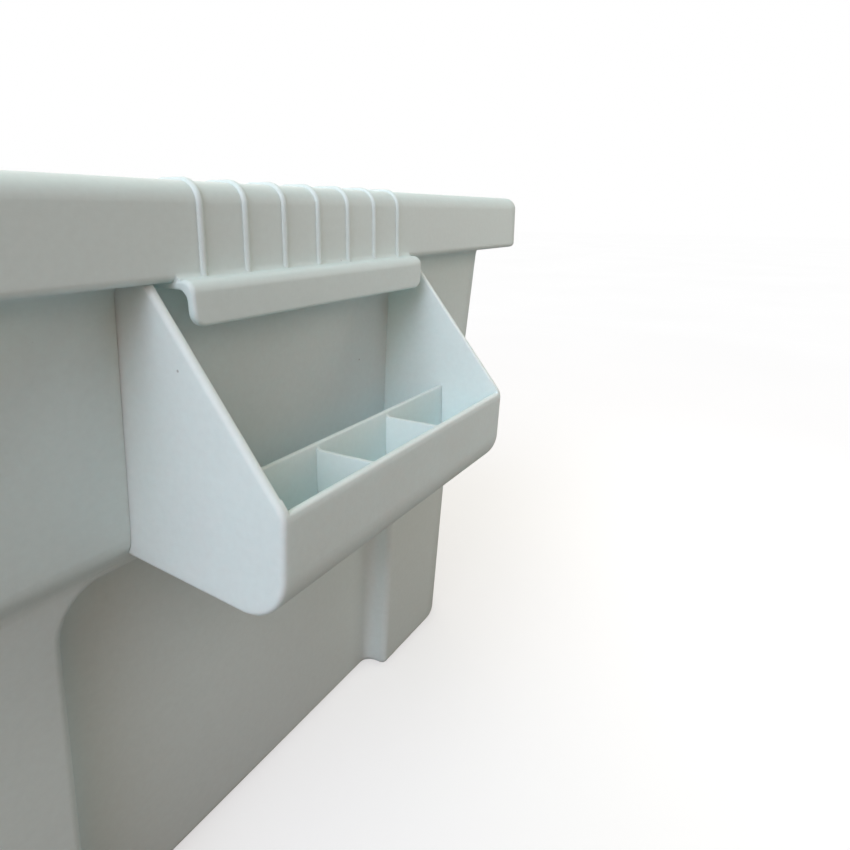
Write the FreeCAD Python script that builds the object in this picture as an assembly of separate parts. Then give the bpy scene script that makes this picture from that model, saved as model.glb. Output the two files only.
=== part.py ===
"""Resin wash station: a moulded wash tub with an end-mounted tool caddy, a lift-out
perforated basket with two bail handles, a drip shelf and a ball-valve drain.

Frame: origin on the floor plane at the middle of the base, +Z up, -Y towards the
caddy end (the front), X across the width.  Millimetres.
"""
import FreeCAD
import Part
import math
import os

Vec = FreeCAD.Vector

# ---------------------------------------------------------------- driving dimensions
# A "depth" is always measured down from the rim top, a "setback" inwards from the skirt face.
# tub
TUB_W = 400.0            # over the rim, X
TUB_L = 600.0            # over the rim, Y
TUB_H = 254.5            # moulding height
PAD_PROUD = 0.6          # rubber pads stand this far below the moulding
PAD_X, PAD_Y, PAD_R = 134.0, 243.0, 11.0
RIM_H = 26.5             # skirt height
RIM_R = 23.5             # plan corner radius of the rim
RIM_TOP_R = 6.0          # rolled top edge
RIM_BOT_R = 2.2          # lower skirt edge
RIM_JOIN_R = 4.0         # under the rim, where it meets the wall
RIM_SKIRT_T = 5.8        # skirt thickness outside the groove
RIM_GROOVE_W = 4.8       # relief groove under the rim
RIM_GROOVE_D = 20.0
MOUTH_R = 1.4            # inner edge of the rim top
OVERHANG = 13.7          # wall face behind the skirt face, at the rim top
DRAFT = 0.046            # upper wall's lean per mm of depth
DRAFT_LOW = 0.0485       # lower wall's lean
WALL_R = 30.2            # plan corner radius of the lower wall
UP_TOP_DEPTH = 4.0       # the upper wall's outer form ends here, inside the rim
UP_R_TOP = 25.4          # plan corner radius of the upper wall there
UP_R_GROW = 0.1036       # growth of that radius per mm of depth
WALL_T = 3.0
STEP_DEPTH = 110.2       # underside of the wall step
STEP_IN = 4.45           # how far the lower wall steps in
STEP_R = 9.0             # outer rounding of the step
STEP_ROOT_R = 7.0        # inner rounding of the step
LEDGE_DEPTH = 103.0      # inside ledge that carries the basket and shelf
FLOOR_T = 3.2
FLOOR_R = 9.0            # rounding of the inside floor
BASE_R = 4.0
# end recesses between the corner columns
REC_HALF = 90.0
REC_DEPTH = 11.85
REC_CORNER_R = 14.0      # upper corners of the recess, front view
REC_EDGE_R = 3.2
REC_ROOT_R = 5.0
REC_RUN = 200.0          # length of the recess cutter below the step, past the base
# grip ribs and finger lip at each end
RIB_COUNT = 7
RIB_PITCH = 17.275
RIB_R = 1.25
RIB_PROUD = 0.95
RIB_BOTTOM = 25.6        # depth where the ribs land on the lip
RIB_RUN = 13.5           # run inward over the rim top
RIB_TAPER_L = 6.0        # tapered end of that run
RIB_TIP_R = 0.62
RIB_TIP_SINK = 0.55
LIP_HALF = 61.8
LIP_OUT = 6.1
LIP_IN = 15.6            # the lip's root behind the skirt face
LIP_TOP = 25.6
LIP_BOT = 38.2
LIP_T = 2.8
LIP_TAPER = 0.6
LIP_BLEND_R = 1.6        # concave blend from the skirt onto the lip
# tool caddy
CAD_HALF = 69.6
CAD_T = 2.6
CAD_OUT = 40.7
CAD_TOP = 80.5
CAD_APEX_Y = 0.6
CAD_APEX_Z = 28.4        # depth
CAD_FRONT_LEAN = 0.049
CAD_BOT_FRONT = 113.5
CAD_BOT_WALL = 108.0
CAD_BOT_R = 14.0
CAD_TOP_R = 6.5          # front upper corner of the side panels
CAD_EDGE_R = 1.5         # outer edge rounding
CAD_INSIDE_R = 2.0       # inside, floor to back plate
CAD_PANEL_R = 0.8        # inner top edges of the side panels
CAD_FRONT_R = 0.9        # top edges of the front wall
CAD_BACK_T = 2.2
CAD_GAP = 0.06
# lift-out partition for small tools
PART_FRONT = 26.7        # its plate's front face behind the caddy front face
PART_T = 1.8
PART_TOP = 80.8
PART_CLEAR = 0.3         # above the caddy floor
PART_END_CLEAR = 0.15
DIV_TOP = 82.9
DIV_X = 21.3
DIV_T = 1.4
DIV_SWEEP_R = 1.6
# caddy fasteners
SCREW_X = (-30.0, 0.0, 30.0)
SCREW_DEPTH = 35.6
SCREW_R = 2.0
SCREW_HEAD_R, SCREW_HEAD_H = 3.9, 2.4
NUT_HOLE_R = SCREW_R + 0.05
# basket
BASK_Y0, BASK_Y1 = -38.0, 268.0
BASK_FLANGE_HALF = 176.6
BASK_FLANGE_R = 33.0
BASK_CY = 109.0          # middle of the basket well
BASK_HX_TOP, BASK_HX_BOT = 160.0, 153.0
BASK_HY_TOP, BASK_HY_BOT = 141.0, 128.0
BASK_R_TOP, BASK_R_BOT = 24.0, 22.0
BASK_T = 2.4
BASK_FLOOR_GAP = 12.0    # clear above the tub floor
SLOT_R = 4.0
SLOT_PITCH = 26.0        # side slots
SLOT_LOW_H = 46.0        # height of the lower row
SLOT_ROW_GAP = 10.0
# handles
WIRE_R = 2.5
WIRE_X = 171.5
WIRE_END_R = 14.0        # bends at the basket's end
WIRE_PIVOT_R = 5.0       # bends at the pivots
PIVOT_SPLIT = 15.0       # pivots either side of the basket middle
LUG_X0, LUG_X1 = 161.0, 166.0
LUG_R = 6.0
GRIP_R = 6.5
GRIP_L = 96.0
# drip shelf
SHELF_Y0, SHELF_Y1 = -271.0, -50.0
SHELF_T = 2.4
SHELF_H = 9.0            # top of the shelf's rim above the ledge
# drain
DRAIN_Z = 24.0
BALL_R = 9.5
BORE_R = 5.5
STEM_R = 4.0
RUN_CLR = 0.06           # running clearance on radius
GASKET_T = 1.6
BOSS_T = 8.6
CHAMBER_R = BALL_R + 0.8
CHAMBER_END = BALL_R + 0.6   # chamber ends, from the ball centre
BODY_END = 14.0          # rear face of the valve body, from the ball centre

# ---------------------------------------------------------------- derived places
Z0 = PAD_PROUD
Z_TOP = Z0 + TUB_H
HALF_W, HALF_L = TUB_W / 2.0, TUB_L / 2.0
CAD_FACE_Y = -HALF_L - CAD_OUT
SIGN_PAIRS = [(sx, sy) for sx in (-1, 1) for sy in (-1, 1)]


def zd(depth):
    """Height of a depth below the rim top."""
    return Z_TOP - depth


def wall_in(depth):
    """Setback of the upper wall's outer face."""
    return OVERHANG + DRAFT * depth


def low_in(depth):
    """Setback of the lower wall's outer face."""
    return wall_in(STEP_DEPTH) + STEP_IN + DRAFT_LOW * (depth - STEP_DEPTH)


def up_r(depth):
    """Plan corner radius of the upper wall."""
    return UP_R_TOP + UP_R_GROW * (depth - UP_TOP_DEPTH)


FLOOR_Z = Z0 + FLOOR_T
LEDGE_Z = zd(LEDGE_DEPTH)
FLANGE_Z0, FLANGE_Z1 = LEDGE_Z + 0.15, LEDGE_Z + 2.75
BASK_Z0 = FLOOR_Z + BASK_FLOOR_GAP
BASK_MID_Y = (BASK_Y0 + BASK_Y1) / 2
BASK_HALF_Y = (BASK_Y1 - BASK_Y0) / 2
PIVOT_Z = FLANGE_Z1 + GRIP_R + 0.6
BOSS_OUT = HALF_L - (low_in(TUB_H - DRAIN_Z) + REC_DEPTH) + 2.6   # outer pad face
BOSS_IN = BOSS_OUT - BOSS_T                                       # inner pad face
BODY_Y = BOSS_OUT + GASKET_T + 0.02
BALL_Y = BODY_Y + 3.6 + BALL_R + 3.6
LEVER_Z = DRAIN_Z + 22.1


# ---------------------------------------------------------------- helpers
def save(name, shape):
    shape.exportStep("parts/%s.step" % name)


def block(x0, x1, y0, y1, z0, z1):
    return Part.makeBox(x1 - x0, y1 - y0, z1 - z0, Vec(x0, y0, z0))


def rod(radius, start, end):
    axis = end - start
    return Part.makeCylinder(radius, axis.Length, start, axis)


def x_rod(radius, x0, x1, y, z):
    return rod(radius, Vec(x0, y, z), Vec(x1, y, z))


def y_rod(radius, y0, y1, z=0.0):
    return rod(radius, Vec(0, y0, z), Vec(0, y1, z))


def z_rod(radius, x, y, z0, z1):
    return rod(radius, Vec(x, y, z0), Vec(x, y, z1))


def taper(radius0, radius1, start, end):
    axis = end - start
    return Part.makeCone(radius0, radius1, axis.Length, start, axis)


def prism(points, direction):
    """Polygon through the points, closed and extruded."""
    return Part.Face(Part.makePolygon(points + [points[0]])).extrude(direction)


def yz_prism(points, x0, x1):
    """Side-view outline of (y, z) points run from x0 to x1."""
    return prism([Vec(x0, y, z) for (y, z) in points], Vec(x1 - x0, 0, 0))


def hexagon(inner_r, start, length, turn=0.0):
    """Hexagonal prism along +Y, 2 * inner_r across flats."""
    outer_r = inner_r / math.cos(math.pi / 6)
    angles = [math.radians(60 * i + turn) for i in range(6)]
    shape = prism([Vec(outer_r * math.cos(a), outer_r * math.sin(a), 0) for a in angles],
                  Vec(0, 0, length))
    turned = FreeCAD.Rotation(Vec(0, 0, 1), Vec(0, 1, 0))
    shape.Placement = FreeCAD.Placement(start, turned)
    return shape


def rounded_wire(half_x, half_y, radius, z, mid_x=0.0, mid_y=0.0):
    """Rounded rectangle in a horizontal plane."""
    x, y = half_x - radius, half_y - radius
    corners = [(mid_x + x, mid_y - y, -90), (mid_x + x, mid_y + y, 0),
               (mid_x - x, mid_y + y, 90), (mid_x - x, mid_y - y, 180)]
    edges = []
    first = last = None
    for (cx, cy, start_angle) in corners:
        angles = [math.radians(start_angle + turn) for turn in (0, 45, 90)]
        arc = [Vec(cx + radius * math.cos(a), cy + radius * math.sin(a), z) for a in angles]
        if last is None:
            first = arc[0]
        else:
            edges.append(Part.makeLine(last, arc[0]))
        edges.append(Part.Arc(*arc).toShape())
        last = arc[2]
    edges.append(Part.makeLine(last, first))
    return Part.Wire(edges)


def rounded_prism(half_x, half_y, radius, z0, z1, mid_x=0.0, mid_y=0.0):
    wire = rounded_wire(half_x, half_y, radius, z0, mid_x, mid_y)
    return Part.Face(wire).extrude(Vec(0, 0, z1 - z0))


def rounded_loft(lower, upper):
    """Drafted block between two sets of rounded_wire arguments."""
    return Part.makeLoft([rounded_wire(*lower), rounded_wire(*upper)], True, True)


def try_fillet(shape, radius, edges):
    """Fillet, or None where the kernel fails or gives a bad solid."""
    if not edges:
        return None
    # guards against the kernel refusing a radius that doesn't fit the edges
    try:
        result = shape.makeFillet(radius, edges)
    except Exception:
        return None
    return result if result.isValid() and result.Volume > 0 else None


def picked(shape, pick):
    """Edges whose bounding box satisfies pick."""
    return [edge for edge in shape.Edges if pick(edge.BoundBox)]


def fillet(shape, radius, pick):
    """Round the picked edges; the shape stays as it is where that can't be done."""
    result = try_fillet(shape, radius, picked(shape, pick))
    return shape if result is None else result


def fillet_first(shape, radii, pick):
    """Round the picked edges with the first radius that gives one valid solid."""
    edges = picked(shape, pick)
    for radius in radii:
        result = try_fillet(shape, radius, edges)
        if result is not None and len(result.Solids) == 1:
            return result
    return shape


def level_at(z, tol=0.02):
    """Picks edges lying in the horizontal plane at z."""
    return lambda box: box.ZMin > z - tol and box.ZMax < z + tol


def long_x_edge(y, z):
    """Picks the long edge along X through (y, z)."""
    return lambda box: (box.XLength > 60 and abs(box.Center.y - y) < 0.15
                        and abs(box.Center.z - z) < 0.15)


def setbacks(box):
    """Setback of a bounding box behind the skirt faces, in X and in Y."""
    return (HALF_W - max(abs(box.XMin), abs(box.XMax)),
            HALF_L - max(abs(box.YMin), abs(box.YMax)))


def mirror_y(shape):
    return shape.mirror(Vec(0, 0, 0), Vec(0, 1, 0))


def clean(shape):
    """Merge split faces, unless that spoils the solid."""
    merged = shape.removeSplitter()
    return merged if merged.isValid() else shape


def placed(shape, placement):
    result = shape.copy()
    result.Placement = placement.multiply(result.Placement)
    return result


def edge_cutter(start, end, out_a, out_b, radius, extra=6.0):
    """Cutter that rounds a straight edge between faces with unit outward normals
    out_a and out_b; it overruns both ends."""
    along = (end - start).normalize()
    length = (end - start).Length + 2 * extra
    origin = start - along * extra
    corners = ((-radius, -radius), (1.0, -radius), (1.0, 1.0), (-radius, 1.0))
    bar = prism([origin + out_a * a + out_b * b for (a, b) in corners], along * length)
    rod_start = origin - along - out_a * radius - out_b * radius
    return bar.cut(Part.makeCylinder(radius, length + 2, rod_start, along))


def section(depth, setback, radius):
    """Plan section of the tub, as rounded_wire arguments."""
    return (HALF_W - setback, HALF_L - setback, radius, zd(depth))


def screw_frame(x):
    """Placement at a caddy screw: local -Y points out of the leaning wall's outer face."""
    lean = math.degrees(math.atan(DRAFT))
    return FreeCAD.Placement(Vec(x, -HALF_L + wall_in(SCREW_DEPTH), zd(SCREW_DEPTH)),
                             FreeCAD.Rotation(Vec(1, 0, 0), lean))


# ---------------------------------------------------------------- wash tub
def recess_prism(offset, y0, y1):
    """Recess outline, offset outwards, run square to the lower wall between local depths.
    Local frame: origin on the column face at the step's underside, Z up along the wall."""
    half, radius = REC_HALF + offset, REC_CORNER_R + offset
    top, bottom = offset - REC_EDGE_R, -REC_RUN
    rise = radius * (1 - math.sqrt(0.5))
    corners = [(-half, bottom), (half, bottom), (half, top - radius),
               (half - radius, top), (-half + radius, top), (-half, top - radius)]
    pts = [Vec(x, y0, z) for (x, z) in corners]
    edges = [
        Part.makeLine(pts[0], pts[1]),
        Part.makeLine(pts[1], pts[2]),
        Part.Arc(pts[2], Vec(half - rise, y0, top - rise), pts[3]).toShape(),
        Part.makeLine(pts[3], pts[4]),
        Part.Arc(pts[4], Vec(-half + rise, y0, top - rise), pts[5]).toShape(),
        Part.makeLine(pts[5], pts[0]),
    ]
    return Part.Face(Part.Wire(edges)).extrude(Vec(0, y1 - y0, 0))


def recess_back(y):
    """Picks the outline edges of a recess prism's back face, but for the bottom one."""
    return lambda box: box.YMin > y - 0.02 and box.ZMax > -REC_RUN + 1.0


def place_recess(shape):
    """Stand a recess form against the front end's lower wall."""
    origin = Vec(0, -HALF_L + low_in(STEP_DEPTH), zd(STEP_DEPTH))
    lean = math.degrees(math.atan(DRAFT_LOW))
    return placed(shape, FreeCAD.Placement(origin, FreeCAD.Rotation(Vec(1, 0, 0), lean)))


def recess_cutter():
    """Front recess: soft mouth, straight sides, rounded root, level at the step."""
    deep = recess_prism(0.0, 0.0, REC_DEPTH)
    deep = fillet_first(deep, (REC_ROOT_R, 4.0, 3.0), recess_back(REC_DEPTH))
    # the flare is what is left of a slab once a plate with a rounded opening is removed
    flare_t = REC_EDGE_R + 2.0
    slab = block(-REC_HALF - 30, REC_HALF + 30, 0.0, flare_t, -190.0, 30.0)
    plate = slab.cut(recess_prism(0.0, -1.0, flare_t + 1.0))
    plate = fillet_first(
        plate, (REC_EDGE_R, 3.0),
        lambda box: (box.YMax < 0.01 and box.XMax < REC_HALF + 1.0
                     and box.XMin > -REC_HALF - 1.0 and -189.0 < box.ZMax < 1.0))
    flare = slab.cut(plate)
    cutter = deep.fuse(flare).fuse(recess_prism(REC_EDGE_R, -60.0, 0.0))
    return place_recess(cutter).common(block(-150, 150, -400, -200, -60, zd(STEP_DEPTH)))


def is_step_root(box):
    """Edges where the lower wall meets the underside of the step."""
    z_step = zd(STEP_DEPTH)
    if box.ZMin < z_step - 0.3 or box.ZMax > z_step + 2.5 or box.ZLength > 0.9:
        return False
    return abs(min(setbacks(box)) - low_in(STEP_DEPTH)) < 0.5


def is_rim_junction(box):
    """Edges where the upper wall meets the underside of the rim."""
    z_rim = zd(RIM_H)
    if abs(box.ZMin - z_rim) > 0.02 or abs(box.ZMax - z_rim) > 0.02:
        return False
    return any(abs(setback - wall_in(RIM_H)) < 0.1 for setback in setbacks(box))


def tub_outside():
    """Closed outside form of the tub."""
    low_top = LEDGE_DEPTH - 6.0
    lower = rounded_loft(section(TUB_H, low_in(TUB_H), WALL_R),
                         section(low_top, low_in(low_top), WALL_R))
    upper = rounded_loft(section(STEP_DEPTH, wall_in(STEP_DEPTH), up_r(STEP_DEPTH)),
                         section(UP_TOP_DEPTH, wall_in(UP_TOP_DEPTH), up_r(UP_TOP_DEPTH)))
    upper = fillet_first(upper, (STEP_R, 8.0, 6.0), level_at(zd(STEP_DEPTH)))
    outer = lower.fuse(upper)
    outer = fillet_first(outer, (STEP_ROOT_R, 6.0, 5.0, 4.0, 3.0), is_step_root)
    recess = recess_cutter()
    outer = outer.cut(recess)
    outer = outer.cut(mirror_y(recess))
    outer = clean(outer)
    outer = fillet_first(outer, (BASE_R, 3.4, 2.8), level_at(Z0))

    rim = rounded_prism(HALF_W, HALF_L, RIM_R, zd(RIM_H), Z_TOP)
    rim = fillet(rim, RIM_TOP_R, level_at(Z_TOP))
    rim = fillet(rim, RIM_BOT_R, level_at(zd(RIM_H)))
    return fillet_first(outer.fuse(rim), (RIM_JOIN_R, 3.4, 2.8), is_rim_junction)


def tub_cavity():
    """Inside of the tub, with the recesses bulging in and a ledge above the step."""
    floor_depth = TUB_H - FLOOR_T
    lower_r = WALL_R - WALL_T
    lower = rounded_loft(section(floor_depth, low_in(floor_depth) + WALL_T, lower_r),
                         section(LEDGE_DEPTH, low_in(LEDGE_DEPTH) + WALL_T, lower_r))
    lower = fillet(lower, FLOOR_R, level_at(FLOOR_Z))
    above = -4.0             # the cavity runs out above the rim top
    upper = rounded_loft(
        section(LEDGE_DEPTH, wall_in(LEDGE_DEPTH) + WALL_T, up_r(LEDGE_DEPTH) - WALL_T),
        section(above, wall_in(above) + WALL_T, up_r(above) - WALL_T))
    back = REC_DEPTH + WALL_T
    bulge = recess_prism(WALL_T, -60.0, back)
    bulge = place_recess(fillet_first(bulge, (6.0, 5.0), recess_back(back)))
    return lower.cut(bulge).cut(mirror_y(bulge)).fuse(upper)


def rim_groove():
    """Relief groove under the rim, interrupted behind the finger lips."""
    bottom = zd(RIM_H)
    outer_in, inner_in = RIM_SKIRT_T, RIM_SKIRT_T + RIM_GROOVE_W
    outer = rounded_prism(HALF_W - outer_in, HALF_L - outer_in, RIM_R - 3.0,
                          bottom - 3.0, bottom + RIM_GROOVE_D)
    inner = rounded_prism(HALF_W - inner_in, HALF_L - inner_in, RIM_R - 4.0,
                          bottom - 4.0, bottom + RIM_GROOVE_D + 1.0)
    bridge = rounded_prism(LIP_HALF + 2.0, HALF_L + 10.0, 1.0, bottom - 5.0, bottom + 14.0)
    return outer.cut(inner).cut(bridge)


def grip_rib(x):
    """Half-sunk bead up the front skirt, round the rolled edge and in over the rim top."""
    sink = RIB_R - RIB_PROUD
    y_roll, z_roll = -HALF_L + RIM_TOP_R, Z_TOP - RIM_TOP_R
    upright = rod(RIB_R, Vec(x, -HALF_L + sink, zd(RIB_BOTTOM)), Vec(x, -HALF_L + sink, z_roll))
    bend = Part.makeTorus(RIM_TOP_R - sink, RIB_R, Vec(x, y_roll, z_roll), Vec(1, 0, 0))
    bend = bend.common(block(x - 3, x + 3, -HALF_L - 3, y_roll, z_roll, Z_TOP + 3))
    run_start = Vec(x, y_roll, Z_TOP - sink)
    taper_start = Vec(x, y_roll + RIB_RUN - RIB_TAPER_L, Z_TOP - sink)
    tip = Vec(x, y_roll + RIB_RUN, Z_TOP - sink - RIB_TIP_SINK)
    run = rod(RIB_R, run_start, taper_start).fuse(taper(RIB_R, RIB_TIP_R, taper_start, tip))
    run = run.fuse(Part.makeSphere(RIB_R, taper_start)).fuse(Part.makeSphere(RIB_TIP_R, tip))
    return upright.fuse(bend).fuse(run)


def finger_lip():
    """Shelf under the front ribs turned down into a finger grip."""
    y_out = -HALF_L - LIP_OUT
    y_back = y_out + LIP_T
    y_root = -HALF_L + LIP_IN
    z_top, z_under, z_bottom = zd(LIP_TOP), zd(LIP_TOP + LIP_T), zd(LIP_BOT)
    lip = yz_prism([(y_root, z_top), (y_out, z_top), (y_out, z_bottom), (y_back, z_bottom),
                    (y_back, z_under), (y_root, z_under)], -LIP_HALF, LIP_HALF)
    lip = fillet(lip, 3.4, long_x_edge(y_out, z_top))
    lip = fillet(lip, 3.0, long_x_edge(y_back, z_under))

    # front-view outline: sides tapering to rounded lower corners
    low_half = LIP_HALF - LIP_TAPER
    outline = [(-LIP_HALF, z_top + 1), (LIP_HALF, z_top + 1), (LIP_HALF, z_top),
               (low_half, z_bottom), (-low_half, z_bottom), (-LIP_HALF, z_top)]
    front_view = prism([Vec(x, y_out - 5, z) for (x, z) in outline], Vec(0, 40, 0))
    front_view = fillet(front_view, 4.2,
                        lambda box: box.YLength > 30 and abs(box.ZMin - z_bottom) < 0.05)
    lip = lip.common(front_view)

    def rim_of(y, z_max):
        return lambda box: (box.YLength < 0.1 and abs(box.YMin - y) < 0.06
                            and box.ZMax < z_max)

    lip = fillet_first(lip, (1.1, 0.8, 0.5), rim_of(y_out, zd(LIP_TOP + 3.0)))
    lip = fillet_first(lip, (0.8, 0.5), rim_of(y_back, zd(LIP_TOP + LIP_T + 2.0)))
    # the skirt stays straight down to the lip
    lip = lip.fuse(block(-LIP_HALF, LIP_HALF, -HALF_L, -HALF_L + 6.5,
                         zd(RIM_H), zd(RIM_H - RIM_BOT_R - 0.5)))
    y_blend, z_blend = -HALF_L - LIP_BLEND_R, z_top + LIP_BLEND_R
    blend = block(-LIP_HALF + 0.3, LIP_HALF - 0.3, y_blend, -HALF_L + 1.0,
                  z_top - 1.0, z_blend)
    blend = blend.cut(x_rod(LIP_BLEND_R, -LIP_HALF - 1, LIP_HALF + 1, y_blend, z_blend))
    return lip.fuse(blend)


def wash_tub(outside):
    tub = outside.cut(tub_cavity())
    tub = fillet(tub, MOUTH_R, lambda box: level_at(Z_TOP)(box) and min(setbacks(box)) > 15)
    tub = tub.cut(rim_groove())
    ribs = [grip_rib((i - (RIB_COUNT - 1) / 2.0) * RIB_PITCH) for i in range(RIB_COUNT)]
    end_grip = ribs[0].multiFuse(ribs[1:] + [finger_lip()])
    tub = tub.multiFuse([end_grip, mirror_y(end_grip)])
    for x in SCREW_X:
        tub = tub.cut(placed(y_rod(SCREW_R + 0.25, -1, WALL_T + 1), screw_frame(x)))
    # drain boss in the rear recess: flat pads outside and inside, one clear hole
    boss = y_rod(19.5, BOSS_IN, BOSS_OUT, DRAIN_Z)
    boss = boss.common(block(-30, 30, BOSS_IN - 1, BOSS_OUT + 1, Z0 + 0.2, 80))
    tub = tub.fuse(boss)
    tub = tub.cut(y_rod(9.2, BOSS_IN - 20, BOSS_OUT + 20, DRAIN_Z))
    # pockets under the four corner columns for the rubber pads
    for (sx, sy) in SIGN_PAIRS:
        tub = tub.cut(z_rod(PAD_R + 0.15, sx * PAD_X, sy * PAD_Y, Z0 - 1, Z0 + 1.2))
    return clean(tub)


def foot_pads():
    pads = []
    for (sx, sy) in SIGN_PAIRS:
        pad = z_rod(PAD_R, sx * PAD_X, sy * PAD_Y, 0, Z0 + 1.15)
        pads.append(fillet(pad, 0.4, level_at(0.0)))
    return Part.makeCompound(pads)


# ---------------------------------------------------------------- tool caddy
def wall_y(depth):
    """Outer face of the front end's upper wall."""
    return -HALF_L + wall_in(depth)


def front_y(depth):
    """Outer face of the caddy's front wall."""
    return CAD_FACE_Y + CAD_FRONT_LEAN * (depth - CAD_TOP)


CAD_BOT_SLOPE = ((CAD_BOT_FRONT - CAD_BOT_WALL)
                 / (wall_y(CAD_BOT_WALL) - front_y(CAD_BOT_FRONT)))
CAD_IN_Y = front_y(CAD_BOT_FRONT - 2.0) + CAD_T      # inside of the front wall at the floor


def underside_z(y):
    return zd(CAD_BOT_FRONT) + CAD_BOT_SLOPE * (y - front_y(CAD_BOT_FRONT))


def floor_z(y):
    """Top of the caddy floor."""
    return underside_z(y) + CAD_T


def back_y(depth):
    """Front face of the caddy's back plate."""
    return wall_y(depth) - CAD_GAP - CAD_BACK_T


def caddy_envelope():
    """Outer form in side view; it runs back past the wall and is fitted to it later."""
    top_slope = (CAD_TOP - CAD_APEX_Z) / (CAD_OUT + CAD_APEX_Y)
    overrun = 8.0            # top line continued past its apex
    z_high = zd(CAD_APEX_Z) + overrun * top_slope
    y_rear = -HALF_L + 30.0
    form = yz_prism([(-HALF_L + CAD_APEX_Y + overrun, z_high),
                     (front_y(CAD_TOP), zd(CAD_TOP)),
                     (front_y(CAD_BOT_FRONT), zd(CAD_BOT_FRONT)),
                     (y_rear, underside_z(y_rear)),
                     (y_rear, z_high)], -CAD_HALF, CAD_HALF)
    form = fillet(form, CAD_BOT_R, long_x_edge(front_y(CAD_BOT_FRONT), zd(CAD_BOT_FRONT)))
    form = fillet(form, CAD_TOP_R, long_x_edge(front_y(CAD_TOP), zd(CAD_TOP)))
    return fillet_first(
        form, (CAD_EDGE_R, 1.2),
        lambda box: box.XLength < 0.1 and box.YMax < CAD_FACE_Y + 8 and box.ZLength > 12)


def caddy_inside():
    """Inside volume, open at the top."""
    open_depth = 10.0
    y_back = back_y(CAD_BOT_WALL - CAD_T)
    inside = yz_prism([(front_y(open_depth) + CAD_T, zd(open_depth)),
                       (CAD_IN_Y, floor_z(CAD_IN_Y)),
                       (y_back, floor_z(y_back)),
                       (back_y(open_depth), zd(open_depth))],
                      -CAD_HALF + CAD_T, CAD_HALF - CAD_T)
    inside = fillet(inside, CAD_BOT_R - CAD_T, long_x_edge(CAD_IN_Y, floor_z(CAD_IN_Y)))
    return fillet(inside, CAD_INSIDE_R, long_x_edge(y_back, floor_z(y_back)))


def tool_caddy(outside):
    caddy = caddy_envelope().cut(caddy_inside())
    tub_form = outside.copy()
    tub_form.translate(Vec(0, -CAD_GAP, -0.1))
    caddy = caddy.cut(tub_form)
    # between the side panels: clear of the finger lip, and a level front wall
    half = CAD_HALF - CAD_T
    caddy = caddy.cut(block(-half, half, -HALF_L - 60, -HALF_L + 40,
                            zd(LIP_TOP + LIP_T) - 0.2, Z_TOP + 5))
    caddy = caddy.cut(block(-half, half, CAD_FACE_Y - 3, CAD_FACE_Y + CAD_T + 4,
                            zd(CAD_TOP), zd(CAD_TOP) + 20))
    # soften the panels' inner edges and the front wall
    for side in (-1, 1):
        apex = Vec(side * half, -HALF_L + CAD_APEX_Y, zd(CAD_APEX_Z))
        front = Vec(side * half, front_y(CAD_TOP), zd(CAD_TOP))
        normal = Vec(0, front.z - apex.z, apex.y - front.y).normalize()
        end = front - (front - apex).normalize() * 10.4
        caddy = caddy.cut(edge_cutter(apex, end, Vec(-side, 0, 0), normal, CAD_PANEL_R))
    caddy = fillet(
        caddy, CAD_FRONT_R,
        lambda box: (box.XLength > 100 and box.YLength < 0.1 and box.ZLength < 0.1
                     and box.YMin < CAD_FACE_Y + CAD_T + 1.0
                     and abs(box.ZMin - zd(CAD_TOP)) < 0.1))
    for x in SCREW_X:
        caddy = caddy.cut(placed(y_rod(SCREW_R + 0.15, -6, 2), screw_frame(x)))
    return clean(caddy)


# Fasteners are built in the screw frame: wall from y = 0 to WALL_T, inside beyond.
def caddy_screw():
    """Domed head with a hexagonal socket."""
    plate_y = -(CAD_GAP + CAD_BACK_T)
    head_y = plate_y - SCREW_HEAD_H
    head = y_rod(SCREW_HEAD_R, head_y - 0.02, plate_y - 0.02)
    head = fillet(head, 1.3, lambda box: box.YMax < head_y + 0.1 and box.YLength < 0.1)
    socket = hexagon(1.25, Vec(0, head_y - 1.0, 0), 2.4)
    return head.fuse(y_rod(SCREW_R, plate_y - 1.0, WALL_T + 6.6)).cut(socket)


def seal_washer():
    washer = y_rod(5.2, WALL_T + 0.02, WALL_T + 1.42)
    return washer.cut(y_rod(NUT_HOLE_R, WALL_T - 1, WALL_T + 3))


def cap_nut():
    dome_y = WALL_T + 4.4
    dome = Part.makeSphere(3.3, Vec(0, dome_y, 0))
    dome = dome.common(block(-5, 5, dome_y, WALL_T + 12, -5, 5))
    nut = hexagon(3.5, Vec(0, WALL_T + 1.46, 0), 3.2)
    return nut.fuse(dome).cut(y_rod(NUT_HOLE_R, WALL_T, WALL_T + 6.7))


def at_screws(build):
    """One of the built piece at each caddy screw."""
    return Part.makeCompound([placed(build(), screw_frame(x)) for x in SCREW_X])


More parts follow.
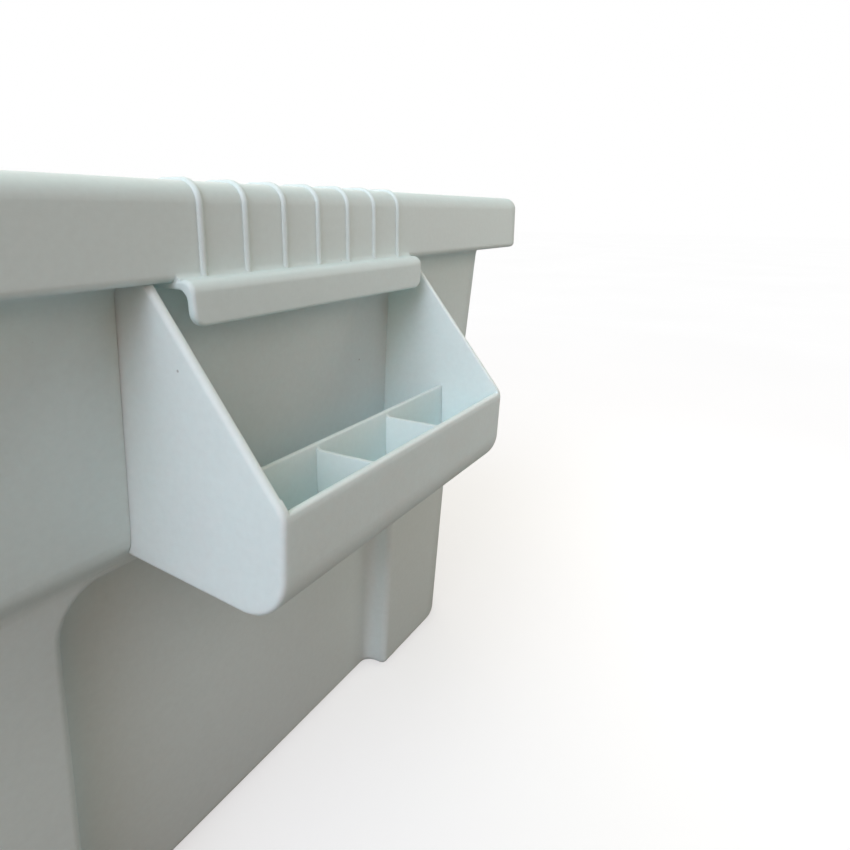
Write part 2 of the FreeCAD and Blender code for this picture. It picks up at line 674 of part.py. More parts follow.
def caddy_partition():
    """One plate with two cross dividers, standing on the caddy floor."""
    y_plate = CAD_FACE_Y + PART_FRONT
    y_rear = y_plate + PART_T
    half = CAD_HALF - CAD_T - PART_END_CLEAR
    plate = yz_prism([(y_plate, zd(PART_TOP)), (y_plate, floor_z(y_plate) + PART_CLEAR),
                      (y_rear, floor_z(y_rear) + PART_CLEAR), (y_rear, zd(PART_TOP))],
                     -half, half)
    plate = fillet(plate, 0.5,
                   lambda box: level_at(zd(PART_TOP))(box) and box.XLength > 100)
    y_in, z_in = CAD_IN_Y, floor_z(CAD_IN_Y)
    y_root = y_plate + 0.6
    divider_outline = [
        (y_root, zd(DIV_TOP)),
        (y_root, floor_z(y_root) + PART_CLEAR),
        (y_in + 1.0, floor_z(y_in + 1.0) + PART_CLEAR),
        (front_y(CAD_BOT_FRONT) + CAD_T + 0.35, z_in + 8.0),
        (front_y(DIV_TOP) + CAD_T + 0.5, zd(DIV_TOP)),
    ]
    # lower front corner, cut off to clear the caddy's inside rounding
    corner_outline = [
        (y_in - 4, z_in - 4),
        (y_in + 10.5, floor_z(y_in + 10.5) + PART_CLEAR - 0.01),
        (y_in + 0.6, z_in + 10.5),
        (y_in - 4, z_in + 10.5),
    ]
    # small sweep from the divider's top up to the plate
    y_sweep, z_sweep = y_plate - DIV_SWEEP_R, zd(DIV_TOP) + DIV_SWEEP_R
    sweep_outline = [(y_sweep, zd(DIV_TOP) - 0.3), (y_plate + 0.3, zd(DIV_TOP) - 0.3),
                     (y_plate + 0.3, z_sweep), (y_sweep, z_sweep)]
    additions = []
    for x in (-DIV_X, DIV_X):
        x0, x1 = x - DIV_T / 2, x + DIV_T / 2
        divider = yz_prism(divider_outline, x0, x1)
        additions.append(divider.cut(yz_prism(corner_outline, x - 2, x + 2)))
        sweep = yz_prism(sweep_outline, x0, x1)
        additions.append(sweep.cut(x_rod(DIV_SWEEP_R, x - 3, x + 3, y_sweep, z_sweep)))
    return clean(plate.multiFuse(additions))


# ---------------------------------------------------------------- basket
def side_slot(start, end, z_low, z_high):
    """Upright round-ended slot cutter between two (x, y) points, along X or along Y."""
    (x0, y0), (x1, y1) = start, end
    side_x, side_y = (SLOT_R, 0.0) if x0 == x1 else (0.0, SLOT_R)
    ends = (z_low + SLOT_R, z_high - SLOT_R)
    slot = block(x0 - side_x, x1 + side_x, y0 - side_y, y1 + side_y, *ends)
    for z in ends:
        slot = slot.fuse(rod(SLOT_R, Vec(x0, y0, z), Vec(x1, y1, z)))
    return slot


def basket_slots():
    """Floor grid, then two rows of slots through the ends and through the long sides."""
    slots = []
    columns, rows = 9, 8
    for i in range(columns):
        for j in range(rows):
            x = (i - (columns - 1) / 2) * 31.0
            y = BASK_CY + (j - (rows - 1) / 2) * 30.0
            slots.append(rounded_prism(4.0, 11.0, 3.99, BASK_Z0 - 1,
                                       BASK_Z0 + BASK_T + 1, x, y))
    z_low = BASK_Z0 + 16.0
    z_split = z_low + SLOT_LOW_H
    levels = ((z_low, z_split), (z_split + SLOT_ROW_GAP, FLANGE_Z0 - 12.0))
    for i in range(11):
        x = (i - 5) * SLOT_PITCH
        for level in levels:
            slots.append(side_slot((x, BASK_Y0 - 5), (x, BASK_Y1 + 5), *level))
    for j in range(9):
        y = BASK_CY + (j - 4) * SLOT_PITCH
        for level in levels:
            slots.append(side_slot((-170, y), (170, y), *level))
    return Part.makeCompound(slots)


def wash_basket():
    flange = rounded_prism(BASK_FLANGE_HALF, BASK_HALF_Y + 7.5, BASK_FLANGE_R,
                           FLANGE_Z0, FLANGE_Z1, 0, BASK_MID_Y)
    flange = fillet(flange, 0.9, level_at(FLANGE_Z1))
    shell = rounded_loft(
        (BASK_HX_BOT, BASK_HY_BOT, BASK_R_BOT, BASK_Z0, 0, BASK_CY),
        (BASK_HX_TOP, BASK_HY_TOP, BASK_R_TOP, FLANGE_Z0 + 0.5, 0, BASK_CY))
    shell = fillet(shell, 7.0, level_at(BASK_Z0))
    hollow = rounded_loft(
        (BASK_HX_BOT - BASK_T, BASK_HY_BOT - BASK_T, BASK_R_BOT - BASK_T,
         BASK_Z0 + BASK_T, 0, BASK_CY),
        (BASK_HX_TOP - BASK_T + 0.2, BASK_HY_TOP - BASK_T + 0.3, BASK_R_TOP - BASK_T,
         FLANGE_Z1 + 2.0, 0, BASK_CY))
    hollow = fillet(hollow, 5.0, level_at(BASK_Z0 + BASK_T))
    basket = flange.fuse(shell).cut(hollow)
    basket = basket.cut(basket_slots())
    # pivot lugs for the bails, two on each long side
    for (sx, sy) in SIGN_PAIRS:
        y = BASK_CY + sy * PIVOT_SPLIT
        x0, x1 = sorted((sx * LUG_X0, sx * LUG_X1))
        lug = block(x0, x1, y - LUG_R, y + LUG_R, FLANGE_Z1 - 0.5, PIVOT_Z)
        basket = basket.fuse(lug.fuse(x_rod(LUG_R, x0, x1, y, PIVOT_Z)))
        basket = basket.cut(x_rod(WIRE_R + RUN_CLR, x0 - 1, x1 + 1, y, PIVOT_Z))
    # short feet under the basket floor
    for (sx, sy) in SIGN_PAIRS:
        basket = basket.fuse(z_rod(7.0, sx * 108.5, BASK_CY + sy * 90.0,
                                   BASK_Z0 - 6.0, BASK_Z0 + 1.0))
    return clean(basket)


def bail_end_y(end):
    """Y of a bail's cross wire; end is -1 at the front, 1 at the rear."""
    return BASK_MID_Y + end * (BASK_HALF_Y + 0.5)


def bail_wire(end):
    """Wire bail lying flat above the basket flange, pivoting near mid-length."""
    y_pivot = BASK_CY + end * PIVOT_SPLIT
    y_end = bail_end_y(end)
    pin_x = LUG_X0 - 2.0
    arc_share = 1 - math.sqrt(0.5)
    end_mid, pivot_mid = WIRE_END_R * arc_share, WIRE_PIVOT_R * arc_share
    # (distance from the middle plane, y) from a pin to the cross wire, bends by three points
    half_path = [
        (pin_x, y_pivot),
        (WIRE_X - WIRE_PIVOT_R, y_pivot),
        (WIRE_X - pivot_mid, y_pivot + end * pivot_mid),
        (WIRE_X, y_pivot + end * WIRE_PIVOT_R),
        (WIRE_X, y_end - end * WIRE_END_R),
        (WIRE_X - end_mid, y_end - end * end_mid),
        (WIRE_X - WIRE_END_R, y_end),
    ]
    pts = [Vec(-x, y, PIVOT_Z) for (x, y) in half_path]
    pts += [Vec(x, y, PIVOT_Z) for (x, y) in reversed(half_path)]
    edges = []
    for i in range(0, 13, 3):
        edges.append(Part.makeLine(pts[i], pts[i + 1]))
        if i < 12:
            edges.append(Part.Arc(pts[i + 1], pts[i + 2], pts[i + 3]).toShape())
    circle = Part.Wire(Part.makeCircle(WIRE_R, pts[0], Vec(1, 0, 0)))
    return Part.Wire(edges).makePipeShell([circle], True, False)


def bail_grip(end):
    """Grooved sleeve round the bail's cross wire."""
    y = bail_end_y(end)
    grip = x_rod(GRIP_R, -GRIP_L / 2, GRIP_L / 2, y, PIVOT_Z)
    grip = fillet(grip, 1.6, lambda box: box.XLength < 0.1)
    for x in range(-36, 37, 12):
        grip = grip.cut(Part.makeTorus(GRIP_R + 0.6, 1.2, Vec(x, y, PIVOT_Z), Vec(1, 0, 0)))
    return grip.cut(x_rod(WIRE_R + 0.02, -GRIP_L, GRIP_L, y, PIVOT_Z))


# ---------------------------------------------------------------- drip shelf
def drip_shelf():
    """Slotted tray beside the basket, as wide as the basket flange."""
    mid_y = (SHELF_Y0 + SHELF_Y1) / 2
    half_x, half_y = BASK_FLANGE_HALF, (SHELF_Y1 - SHELF_Y0) / 2
    z_bottom, z_top = LEDGE_Z + 0.15, LEDGE_Z + SHELF_H
    shelf = rounded_prism(half_x, half_y, BASK_FLANGE_R, z_bottom, z_top, 0, mid_y)
    shelf = fillet(shelf, 1.2, level_at(z_top))
    shelf = shelf.cut(rounded_prism(half_x - SHELF_T, half_y - SHELF_T,
                                    BASK_FLANGE_R - SHELF_T,
                                    z_bottom + SHELF_T, LEDGE_Z + 12, 0, mid_y))
    slots = []
    for i in range(13):
        for j in range(5):
            slots.append(rounded_prism(3.5, 14.0, 3.49, LEDGE_Z - 1, LEDGE_Z + 4,
                                       (i - 6) * 25.0, mid_y + (j - 2) * 40.0))
    shelf = shelf.cut(Part.makeCompound(slots))
    # two finger holes for lifting
    for side in (-1, 1):
        shelf = shelf.cut(z_rod(11.0, side * 162.5, mid_y, LEDGE_Z - 1, LEDGE_Z + 4))
    return clean(shelf)


# ---------------------------------------------------------------- drain valve
# The pipe axis runs along +Y through the rear end; the stem axis is upright at the ball.
def pipe_rod(radius, y0, y1):
    return y_rod(radius, y0, y1, DRAIN_Z)


def stem_rod(radius, z0, z1):
    return z_rod(radius, 0, BALL_Y, z0, z1)


def pipe_hexagon(inner_r, y, length, turn=0.0):
    return hexagon(inner_r, Vec(0, y, DRAIN_Z), length, turn)


def drain_gasket():
    ring = pipe_rod(15.5, BOSS_OUT + 0.02, BOSS_OUT + GASKET_T)
    return ring.cut(pipe_rod(9.25, BOSS_OUT - 1, BOSS_OUT + 5))


def valve_body():
    body = pipe_rod(9.0, BOSS_IN - 9.0, BODY_Y + 0.5)
    body = body.fuse(pipe_hexagon(16.0, BODY_Y, 4.2, 30))
    body = body.fuse(pipe_rod(14.0, BODY_Y + 4.0, BALL_Y + BODY_END))
    body = body.fuse(stem_rod(7.5, DRAIN_Z + 5.0, DRAIN_Z + 21.0))
    cutters = (
        pipe_rod(BORE_R, BOSS_IN - 20, BALL_Y),
        pipe_rod(CHAMBER_R, BALL_Y - CHAMBER_END, BALL_Y + 20.0),
        stem_rod(STEM_R + RUN_CLR, DRAIN_Z, DRAIN_Z + 30),
        stem_rod(6.0, DRAIN_Z + 16.0, DRAIN_Z + 19.2),       # round the stem seal
        stem_rod(5.0, DRAIN_Z + 4.0, DRAIN_Z + 11.7),        # round the stem collar
    )
    for cutter in cutters:
        body = body.cut(cutter)
    return clean(body)


def ball_seats():
    """Rings cupping the ball on both sides."""
    seats = []
    for (y0, y1) in ((BALL_Y - BALL_R - 0.5, BALL_Y - BALL_R + 3.4),
                     (BALL_Y + BALL_R - 3.4, BALL_Y + BALL_R + 0.5)):
        seat = pipe_rod(CHAMBER_R - 0.05, y0, y1).cut(pipe_rod(BORE_R + 0.4, y0 - 1, y1 + 1))
        seats.append(seat.cut(Part.makeSphere(BALL_R + 0.05, Vec(0, BALL_Y, DRAIN_Z))))
    return Part.makeCompound(seats)


def valve_ball():
    """Closed at rest: the bore lies across the pipe."""
    ball = Part.makeSphere(BALL_R, Vec(0, BALL_Y, DRAIN_Z))
    ball = ball.cut(x_rod(BORE_R, -20, 20, BALL_Y, DRAIN_Z))
    return ball.cut(block(-1.55, 1.55, BALL_Y - 10, BALL_Y + 10,
                          DRAIN_Z + BALL_R - 2.6, DRAIN_Z + 12))


def valve_stem():
    """Tongue in the ball's slot, collar, shank and a square for the lever."""
    ball_top = DRAIN_Z + BALL_R
    stem = block(-1.5, 1.5, BALL_Y - 3.5, BALL_Y + 3.5, ball_top - 2.4, ball_top + 0.5)
    stem = stem.common(stem_rod(STEM_R, DRAIN_Z, DRAIN_Z + 40))
    stem = stem.fuse(stem_rod(4.85, ball_top + 0.3, ball_top + 2.1))
    stem = stem.fuse(stem_rod(STEM_R, ball_top + 1.0, DRAIN_Z + 22.0))
    stem = stem.fuse(block(-2.4, 2.4, BALL_Y - 2.4, BALL_Y + 2.4,
                           DRAIN_Z + 21.5, DRAIN_Z + 26.0))
    return stem.cut(stem_rod(1.5, DRAIN_Z + 17.0, DRAIN_Z + 30))


def stem_seal():
    return Part.makeTorus(5.0, 0.92, Vec(0, BALL_Y, DRAIN_Z + 17.6), Vec(0, 0, 1))


def hose_tail():
    """Closes the ball chamber and carries three hose barbs."""
    # the tail clears the rim by almost as much as the caddy does
    y_end = HALF_L + CAD_OUT - 0.11
    y_hex = BALL_Y + BODY_END + 0.05
    tail = pipe_rod(CHAMBER_R - 0.05, BALL_Y + CHAMBER_END, y_hex)
    tail = tail.fuse(pipe_hexagon(14.0, y_hex, 4.0))
    tail = tail.fuse(pipe_rod(7.0, BALL_Y + 18.0, y_end))
    for i in range(3):
        y = y_end - 16.0 + i * 4.6
        tail = tail.fuse(taper(8.2, 7.0, Vec(0, y, DRAIN_Z), Vec(0, y + 4.2, DRAIN_Z)))
    return clean(tail.cut(pipe_rod(BORE_R, BALL_Y, y_end + 5.0)))


def drain_locknut():
    nut = pipe_hexagon(15.0, BOSS_IN - 6.5, 6.45, 30)
    return nut.cut(pipe_rod(9.05, BOSS_IN - 9, BOSS_IN + 1))


def drain_lever():
    """Lies across the pipe, towards +X, when closed."""
    arm_l, root_half, tip_half = 50, 6.0, 4.6
    z_arm, arm_t = LEVER_Z + 1.0, 5.0
    lever = stem_rod(8.0, LEVER_Z, LEVER_Z + 6.5)
    arm = prism([Vec(0, BALL_Y - root_half, z_arm), Vec(arm_l, BALL_Y - tip_half, z_arm),
                 Vec(arm_l, BALL_Y + tip_half, z_arm), Vec(0, BALL_Y + root_half, z_arm)],
                Vec(0, 0, arm_t))
    arm = arm.fuse(z_rod(tip_half, arm_l, BALL_Y, z_arm, z_arm + arm_t))
    lever = lever.fuse(arm)
    lever = fillet(lever, 1.2,
                   lambda box: level_at(z_arm + arm_t)(box) and box.XMax > 9.0)
    # square socket, screw hole and head recess
    lever = lever.cut(block(-2.45, 2.45, BALL_Y - 2.45, BALL_Y + 2.45,
                            LEVER_Z - 1, LEVER_Z + 4.0))
    lever = lever.cut(stem_rod(1.6, LEVER_Z, LEVER_Z + 10))
    lever = lever.cut(stem_rod(3.4, LEVER_Z + 4.6, LEVER_Z + 10))
    return clean(lever)


def lever_screw():
    """Slotted screw down the lever's axis."""
    screw = stem_rod(3.2, LEVER_Z + 4.62, LEVER_Z + 6.9)
    screw = screw.fuse(stem_rod(1.45, DRAIN_Z + 18.0, LEVER_Z + 5.0))
    return screw.cut(block(-0.5, 0.5, BALL_Y - 4, BALL_Y + 4, LEVER_Z + 6.0, LEVER_Z + 8.0))


# ---------------------------------------------------------------- build
os.makedirs("parts", exist_ok=True)

tub_form = tub_outside()
save("wash_tub", wash_tub(tub_form))
save("foot_pads", foot_pads())

save("tool_caddy", tool_caddy(tub_form))
save("caddy_screws", at_screws(caddy_screw))
save("caddy_seal_washers", at_screws(seal_washer))
save("caddy_cap_nuts", at_screws(cap_nut))
save("caddy_partition", caddy_partition())

save("wash_basket", wash_basket())
for end_name, end_sign in (("front", -1), ("rear", 1)):
    save("basket_handle_%s" % end_name, bail_wire(end_sign))
    save("handle_grip_%s" % end_name, bail_grip(end_sign))
save("drip_shelf", drip_shelf())

save("drain_gasket", drain_gasket())
save("drain_valve_body", valve_body())
save("drain_ball_seats", ball_seats())
save("drain_ball", valve_ball())
save("drain_stem", valve_stem())
save("drain_stem_seal", stem_seal())
save("drain_hose_tail", hose_tail())
save("drain_locknut", drain_locknut())
save("drain_lever", drain_lever())
save("drain_lever_screw", lever_screw())
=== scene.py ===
"""Portable wash tub with a tool caddy, a lift-out basket on wire handles and a drain valve.

Metres, +Z up. The floor is the plane z = 0 and the lights aim near the origin. The camera
stands on the -X -Y side, above the floor, and looks towards +X +Y and slightly down.
The meshes come from the CAD pieces; this script adds materials, floor, lights and camera.
"""
import bpy
import bmesh
import math
import random
from mathutils import Matrix, Vector

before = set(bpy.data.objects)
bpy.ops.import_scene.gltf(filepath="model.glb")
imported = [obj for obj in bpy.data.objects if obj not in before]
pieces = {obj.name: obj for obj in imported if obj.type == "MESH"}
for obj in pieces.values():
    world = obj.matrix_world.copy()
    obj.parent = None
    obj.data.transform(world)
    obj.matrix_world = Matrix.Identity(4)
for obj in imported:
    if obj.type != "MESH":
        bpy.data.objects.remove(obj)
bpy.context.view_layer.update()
# Nothing below draws random numbers; this fixes the generator's state.
random.seed(7)


# ---------------------------------------------------------------- node helpers
class Nodes:
    """An emptied shader node tree. Helpers return output sockets, apart from add and voronoi."""

    def __init__(self, tree):
        self.tree = tree
        tree.nodes.clear()

    def feed(self, socket, value):
        """Link a socket to an input, or set the input's value; colours gain an alpha of 1."""
        if isinstance(value, bpy.types.NodeSocket):
            self.tree.links.new(value, socket)
        elif socket.type == "RGBA" and len(value) == 3:
            socket.default_value = (*value, 1.0)
        else:
            socket.default_value = value

    def add(self, kind, inputs=None, **settings):
        node = self.tree.nodes.new(kind)
        for key, value in settings.items():
            setattr(node, key, value)
        for key, value in (inputs or {}).items():
            self.feed(node.inputs[key], value)
        return node

    def math(self, operation, first, second, clamp=False):
        node = self.add("ShaderNodeMath", {0: first, 1: second},
                        operation=operation, use_clamp=clamp)
        return node.outputs[0]

    def vector(self, operation, inputs, output="Vector"):
        return self.add("ShaderNodeVectorMath", inputs, operation=operation).outputs[output]

    def camera_switch(self, other, seen):
        """Shader that shows 'seen' to camera rays and 'other' to all other rays."""
        path = self.add("ShaderNodeLightPath")
        inputs = {0: path.outputs["Is Camera Ray"], 1: other, 2: seen}
        return self.add("ShaderNodeMixShader", inputs).outputs[0]


class Material(Nodes):
    """A new material with a Principled shader on its output."""

    def __init__(self, name):
        self.data = bpy.data.materials.new(name)
        self.data.use_nodes = True
        super().__init__(self.data.node_tree)
        self.output = self.add("ShaderNodeOutputMaterial")
        self.shader = self.add("ShaderNodeBsdfPrincipled")
        self.feed(self.output.inputs["Surface"], self.shader.outputs["BSDF"])

    def set(self, key, value):
        self.feed(self.shader.inputs[key], value)

    def coords(self, stretch=(1, 1, 1)):
        """Object coordinates, scaled per axis; a larger factor means finer detail."""
        place = self.add("ShaderNodeTexCoord").outputs["Object"]
        mapping = self.add("ShaderNodeMapping", {"Vector": place, "Scale": stretch})
        return mapping.outputs["Vector"]

    def noise(self, scale, detail=3.0, rough=0.5, stretch=(1, 1, 1), distort=0.0):
        inputs = {"Scale": scale, "Detail": detail, "Roughness": rough,
                  "Distortion": distort, "Vector": self.coords(stretch)}
        return self.add("ShaderNodeTexNoise", inputs).outputs["Fac"]

    def voronoi(self, scale):
        return self.add("ShaderNodeTexVoronoi", {"Scale": scale, "Vector": self.coords()})

    def ramp(self, source, *stops):
        """Colour ramp; each stop is (position, grey level or RGB)."""
        node = self.add("ShaderNodeValToRGB", {"Fac": source})
        elements = node.color_ramp.elements
        while len(elements) > 1:
            elements.remove(elements[-1])
        for index, (position, color) in enumerate(stops):
            rgb = color if isinstance(color, tuple) else (color,) * 3
            element = elements.new(position) if index else elements[0]
            element.position = position
            element.color = (*rgb, 1.0)
        return node.outputs["Color"]

    def mix(self, factor, first, second, blend="MIX"):
        # Inputs 6 and 7 are the colour inputs A and B.
        node = self.add("ShaderNodeMix", data_type="RGBA", blend_type=blend)
        for index, value in ((0, factor), (6, first), (7, second)):
            self.feed(node.inputs[index], value)
        return node.outputs[2]

    def bevel(self, radius):
        return self.add("ShaderNodeBevel", {"Radius": radius}, samples=4).outputs["Normal"]

    def bump(self, height, normal, distance, strength=1.0):
        inputs = {"Height": height, "Normal": normal,
                  "Distance": distance, "Strength": strength}
        return self.add("ShaderNodeBump", inputs).outputs["Normal"]


# ---------------------------------------------------------------- materials
def add_specks(m, color, strength):
    """Dark specks at the centres of some of the Voronoi cells."""
    cells = m.voronoi(scale=60.0)
    dots = m.ramp(cells.outputs["Distance"], (0.0, 1.0), (0.014, 1.0), (0.030, 0.0))
    chosen = m.ramp(cells.outputs["Color"], (0.0, 0.0), (0.54, 0.0), (0.58, 1.0))
    mask = m.math("MULTIPLY", m.math("MULTIPLY", dots, chosen), strength)
    return m.mix(mask, color, (0.10, 0.09, 0.08))


def scuff_mask(m, strength):
    """Long thin marks, fine across Z and fine across X, gathered in patches."""
    marks = []
    for stretch, start, full in (((1.0, 1.0, 9.0), 0.60, 0.74),
                                 ((9.0, 1.0, 1.2), 0.62, 0.76)):
        streaks = m.noise(scale=60.0, detail=6.0, rough=0.62, stretch=stretch, distort=0.25)
        marks.append(m.ramp(streaks, (start, 0.0), (full, 1.0)))
    mask = m.math("MAXIMUM", *marks)
    patches = m.ramp(m.noise(scale=5.0, detail=2.0), (0.48, 0.0), (0.68, 1.0))
    return m.math("MULTIPLY", m.math("MULTIPLY", mask, patches), strength)


def moulded(name, base, shade, rough=(0.40, 0.56), edge=0.0006, grain=0.00003,
            sss=0.0, sss_scale=0.004, specks=0.0, scuff=0.5):
    """Satin moulded plastic: flow mottling from shade to base, fine grain, scuffs, specks.

    edge is the softened edge radius, grain the depth of the fine bumps, sss the
    subsurface weight; specks and scuff are strengths.
    """
    m = Material(name)
    mottling = m.noise(scale=7.0, detail=4.0, rough=0.55, distort=0.6)
    color = m.ramp(mottling, (0.30, shade), (0.70, base))
    fine = m.ramp(m.noise(scale=420.0, detail=2.0, rough=0.6), (0.2, 0.955), (0.8, 1.0))
    color = m.mix(1.0, color, fine, "MULTIPLY")
    if specks:
        color = add_specks(m, color, specks)

    # Scuffs are slightly lighter and rougher than the plastic around them.
    scuffs = scuff_mask(m, scuff)
    lighter = tuple(min(1.0, c * 1.10 + 0.02) for c in base)
    m.set("Base Color", m.mix(m.math("MULTIPLY", scuffs, 0.35), color, lighter))
    sheen = m.ramp(m.noise(scale=16.0, detail=4.0, rough=0.6), (0.3, rough[0]), (0.7, rough[1]))
    m.set("Roughness", m.math("ADD", sheen, m.math("MULTIPLY", scuffs, 0.12), clamp=True))
    m.set("IOR", 1.49)
    if sss:
        m.set("Subsurface Weight", sss)
        m.set("Subsurface Radius", (0.75, 1.0, 1.0))
        m.set("Subsurface Scale", sss_scale)

    # Fine grain, then broad shallow waviness, over the softened edges.
    normal = m.bump(m.noise(scale=900.0, detail=2.0), m.bevel(edge), distance=grain)
    normal = m.bump(m.noise(scale=28.0, detail=2.0), normal, distance=0.00035, strength=0.35)
    m.set("Normal", normal)
    return m.data


def steel(name, axis, base=(0.60, 0.60, 0.60), rough=(0.18, 0.34), scale=55.0):
    """Stainless steel with fine lines along one axis (0, 1, 2 for X, Y, Z)."""
    m = Material(name)
    stretch = [14.0, 14.0, 14.0]
    stretch[axis] = 0.6
    lines = m.noise(scale=scale, detail=4.0, rough=0.6, stretch=stretch)
    darker = tuple(c * 0.82 for c in base)
    m.set("Base Color", m.ramp(lines, (0.3, darker), (0.7, base)))
    m.set("Metallic", 1.0)
    m.set("Roughness", m.ramp(lines, (0.3, rough[1]), (0.7, rough[0])))
    m.set("Normal", m.bump(lines, m.bevel(0.0003), distance=0.00002, strength=0.8))
    return m.data


def rubber(name, base):
    """Matt rubber with a fine pebbled surface."""
    m = Material(name)
    pebbles = m.noise(scale=240.0, rough=0.6)
    lighter = tuple(c * 1.9 + 0.01 for c in base)
    m.set("Base Color", m.ramp(pebbles, (0.3, base), (0.8, lighter)))
    m.set("Roughness", m.ramp(m.noise(scale=30.0), (0.3, 0.62), (0.7, 0.82)))
    m.set("Normal", m.bump(pebbles, m.bevel(0.0004), distance=0.00008))
    return m.data


def floor_material():
    """Pale floor: takes a soft shadow near the object and fades to clean white."""
    fade_start = 0.42  # distance from the origin; the fade is 1 m long
    m = Material("floor_pale")
    place = m.add("ShaderNodeTexCoord").outputs["Object"]
    distance = m.vector("LENGTH", {0: place}, "Value")
    past_start = m.math("SUBTRACT", distance, fade_start)
    far = m.math("MULTIPLY", past_start, 1.0, clamp=True)
    tint = m.ramp(m.noise(scale=3.0, detail=2.0), (0.3, 0.985), (0.7, 1.0))
    # Reflected light gives way to the floor's own glow with distance.
    reflected = m.mix(far, (0.46, 0.46, 0.46), (0.0, 0.0, 0.0))
    glow = m.mix(far, (0.56, 0.56, 0.56), (1.0, 1.0, 1.0))
    m.set("Base Color", reflected)
    m.set("Roughness", 0.95)
    m.set("Specular IOR Level", 0.0)
    m.set("Emission Color", m.mix(1.0, glow, tint, "MULTIPLY"))
    m.set("Emission Strength", 1.0)
    # Only the camera sees the glow; to other rays the floor is a plain dull surface.
    plain = m.add("ShaderNodeBsdfDiffuse", {"Color": (0.25, 0.24, 0.23)})
    surface = m.camera_switch(other=plain.outputs["BSDF"], seen=m.shader.outputs["BSDF"])
    m.feed(m.output.inputs["Surface"], surface)
    return m.data


PALE = (0.742, 0.868, 0.866)
PALE_SHADE = (0.724, 0.853, 0.851)
# Painted light: this gain lifts the caddy's colour above the tub's to brighten the shade inside
# its pocket.
CADDY_PAINTED_LIGHT_GAIN = 1.01  # the caddy is a touch lighter than the tub

tub = moulded("tub_polypropylene", PALE, PALE_SHADE, sss=0.15, specks=0.8)
caddy = moulded("caddy_polypropylene", tuple(c * CADDY_PAINTED_LIGHT_GAIN for c in PALE),
                tuple(c * CADDY_PAINTED_LIGHT_GAIN for c in PALE_SHADE),
                sss=0.40, specks=0.5, sss_scale=0.007)
basket = moulded("basket_polypropylene", (0.60, 0.66, 0.66), (0.56, 0.62, 0.62),
                 sss=0.12, edge=0.0009)
grip = moulded("grip_plastic", (0.085, 0.120, 0.130), (0.070, 0.100, 0.110),
               rough=(0.5, 0.66), grain=0.00006, scuff=0.8)
valve = moulded("valve_plastic", (0.42, 0.45, 0.45), (0.38, 0.41, 0.41),
                rough=(0.36, 0.5), edge=0.0007)
lever = moulded("lever_plastic", (0.030, 0.120, 0.175), (0.022, 0.100, 0.150),
                rough=(0.34, 0.46), edge=0.0007)
seat = moulded("seat_fluoropolymer", (0.72, 0.72, 0.70), (0.68, 0.68, 0.66),
               rough=(0.3, 0.4), edge=0.0003)
wire = steel("stainless_wire", axis=1)
turned = steel("stainless_turned", axis=2, scale=75.0)
polished = steel("polished_ball", axis=2, base=(0.68, 0.69, 0.71), rough=(0.06, 0.12))
seal = rubber("solvent_rubber", base=(0.018, 0.018, 0.019))

PIECE_MATERIALS = {
    "wash_tub": tub,
    "foot_pads": seal,
    "tool_caddy": caddy,
    "caddy_partition": caddy,
    "caddy_screws": turned,
    "caddy_seal_washers": seal,
    "caddy_cap_nuts": turned,
    "wash_basket": basket,
    "drip_shelf": basket,
    "basket_handle_front": wire,
    "basket_handle_rear": wire,
    "handle_grip_front": grip,
    "handle_grip_rear": grip,
    "drain_valve_body": valve,
    "drain_hose_tail": valve,
    "drain_gasket": seal,
    "drain_locknut": valve,
    "drain_ball": polished,
    "drain_ball_seats": seat,
    "drain_stem": turned,
    "drain_stem_seal": seal,
    "drain_lever": lever,
    "drain_lever_screw": turned,
}
for name, piece in pieces.items():
    piece.data.materials.clear()
    piece.data.materials.append(PIECE_MATERIALS[name])


# ---------------------------------------------------------------- floor
FLOOR_HALF_SIDE = 9.0

scene = bpy.context.scene


def add_object(name, data):
    item = bpy.data.objects.new(name, data)
    scene.collection.objects.link(item)
    return item


def build_floor():
    mesh = bpy.data.meshes.new("floor")
    grid = bmesh.new()
    bmesh.ops.create_grid(grid, x_segments=4, y_segments=4, size=FLOOR_HALF_SIDE)
    grid.to_mesh(mesh)
    grid.free()
    floor = add_object("floor", mesh)
    mesh.materials.append(floor_material())


build_floor()

scene.view_settings.view_transform = "Standard"
scene.view_settings.look = "None"
scene.view_settings.exposure = 0.0
scene.view_settings.gamma = 1.0


# ---------------------------------------------------------------- world
# Broad soft sources far away: direction, tightness (power of the cosine), RGB strength.
SOFT_SOURCES = [
    ((-1.0, -1.0, 0.4), 6.0, (0.80, 0.40, 0.20)),
    ((-1.0, -0.12, 0.75), 16.0, (6.10, 6.60, 7.60)),
    ((1.0, 0.9, 0.5), 10.0, (1.90, 1.66, 1.60)),
    ((-0.2, 1.0, 0.6), 8.0, (1.25, 1.08, 1.05)),
]


def build_world():
    """White to the camera; lit by the soft sources for everything else."""
    world = bpy.data.worlds.new("studio")
    scene.world = world
    world.use_nodes = True
    w = Nodes(world.node_tree)
    output = w.add("ShaderNodeOutputWorld")
    white = w.add("ShaderNodeBackground", {"Color": (1, 1, 1), "Strength": 1.0})
    ray = w.add("ShaderNodeTexCoord").outputs["Generated"]
    total = None
    for direction, tightness, rgb in SOFT_SOURCES:
        cosine = w.vector("DOT_PRODUCT", {0: ray, 1: Vector(direction).normalized()}, "Value")
        falloff = w.math("POWER", w.math("MAXIMUM", cosine, 0.0), tightness)
        light = w.vector("SCALE", {0: rgb, "Scale": falloff})
        total = w.vector("ADD", {0: total, 1: light}) if total else light
    lit = w.add("ShaderNodeBackground", {"Color": total, "Strength": 1.0})
    surface = w.camera_switch(other=lit.outputs[0], seen=white.outputs[0])
    w.feed(output.inputs["Surface"], surface)


build_world()


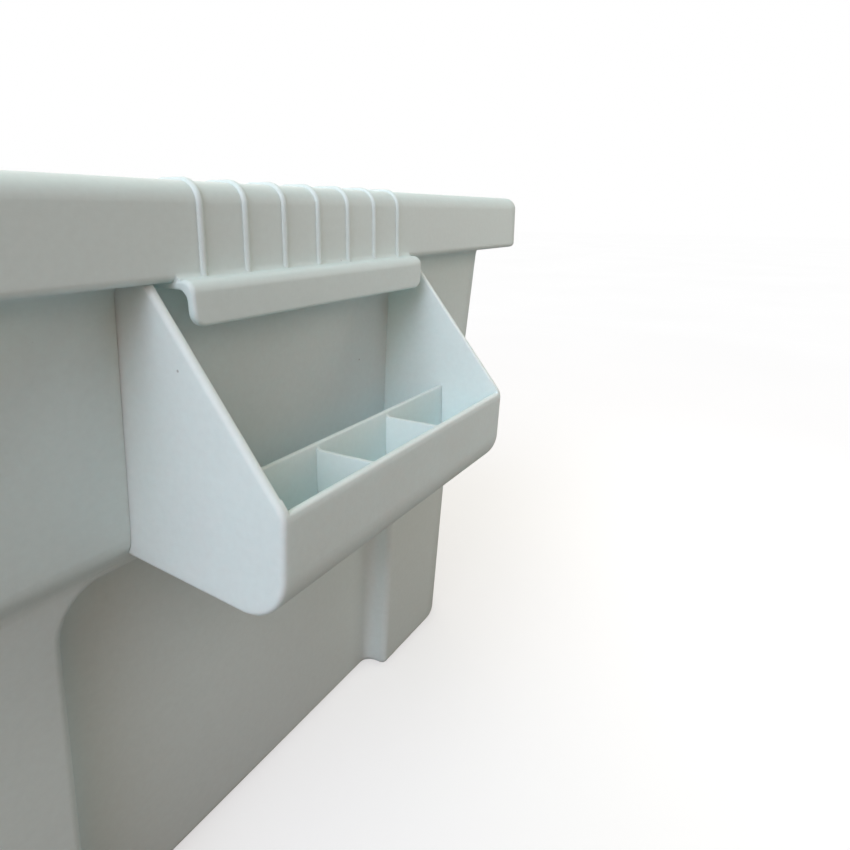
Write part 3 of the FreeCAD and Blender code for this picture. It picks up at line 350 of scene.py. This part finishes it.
# ---------------------------------------------------------------- lights
# Square area lights: name, place, target, side, power in watts, colour.
AREA_LIGHTS = [
    ("overhead", (0.2, -0.1, 2.2), (0.0, 0.0, 0.1), 2.2, 14.6, (0.95, 1.0, 0.74)),
    ("right_near", (0.45, -0.62, 0.32), (0.15, -0.3, 0.2), 0.25, 0.56, (1.0, 0.95, 0.87)),
    ("right_high", (0.30, -0.95, 0.55), (0.1, -0.3, 0.2), 0.35, 0.52, (1.0, 0.97, 0.95)),
]
for name, place, target, side, power, color in AREA_LIGHTS:
    light = bpy.data.lights.new(name, "AREA")
    light.shape = "RECTANGLE"
    light.size = side
    light.size_y = side
    light.energy = power
    light.color = color
    lamp = add_object(name, light)
    lamp.location = place
    lamp.visible_camera = False
    aim = Vector(target) - Vector(place)
    lamp.rotation_euler = aim.to_track_quat("-Z", "Y").to_euler()


# ---------------------------------------------------------------- camera
CAMERA_PLACE = (-0.183751, -0.4406, 0.246872)
YAW = math.radians(30.346)  # from +X towards +Y
PITCH = math.radians(14.104)  # below level
ROLL = math.radians(-0.355)
SENSOR_WIDTH = 36.0  # mm
LENS = 28.23310588  # mm
SHIFT = (0.0270870588, -0.0525705882)  # fractions of the frame width


def build_camera():
    forward = Vector((math.cos(YAW) * math.cos(PITCH),
                      math.sin(YAW) * math.cos(PITCH),
                      -math.sin(PITCH)))
    level_right = Vector((math.sin(YAW), -math.cos(YAW), 0.0))
    level_down = forward.cross(level_right)
    right = math.cos(ROLL) * level_right + math.sin(ROLL) * level_down
    down = -math.sin(ROLL) * level_right + math.cos(ROLL) * level_down

    data = bpy.data.cameras.new("camera")
    camera = add_object("camera", data)
    data.sensor_width = SENSOR_WIDTH
    data.sensor_fit = "HORIZONTAL"
    data.lens = LENS
    data.shift_x, data.shift_y = SHIFT
    data.clip_start = 0.01
    turn = Matrix((right, -down, -forward)).transposed()
    camera.matrix_world = Matrix.Translation(CAMERA_PLACE) @ turn.to_4x4()
    scene.camera = camera


build_camera()
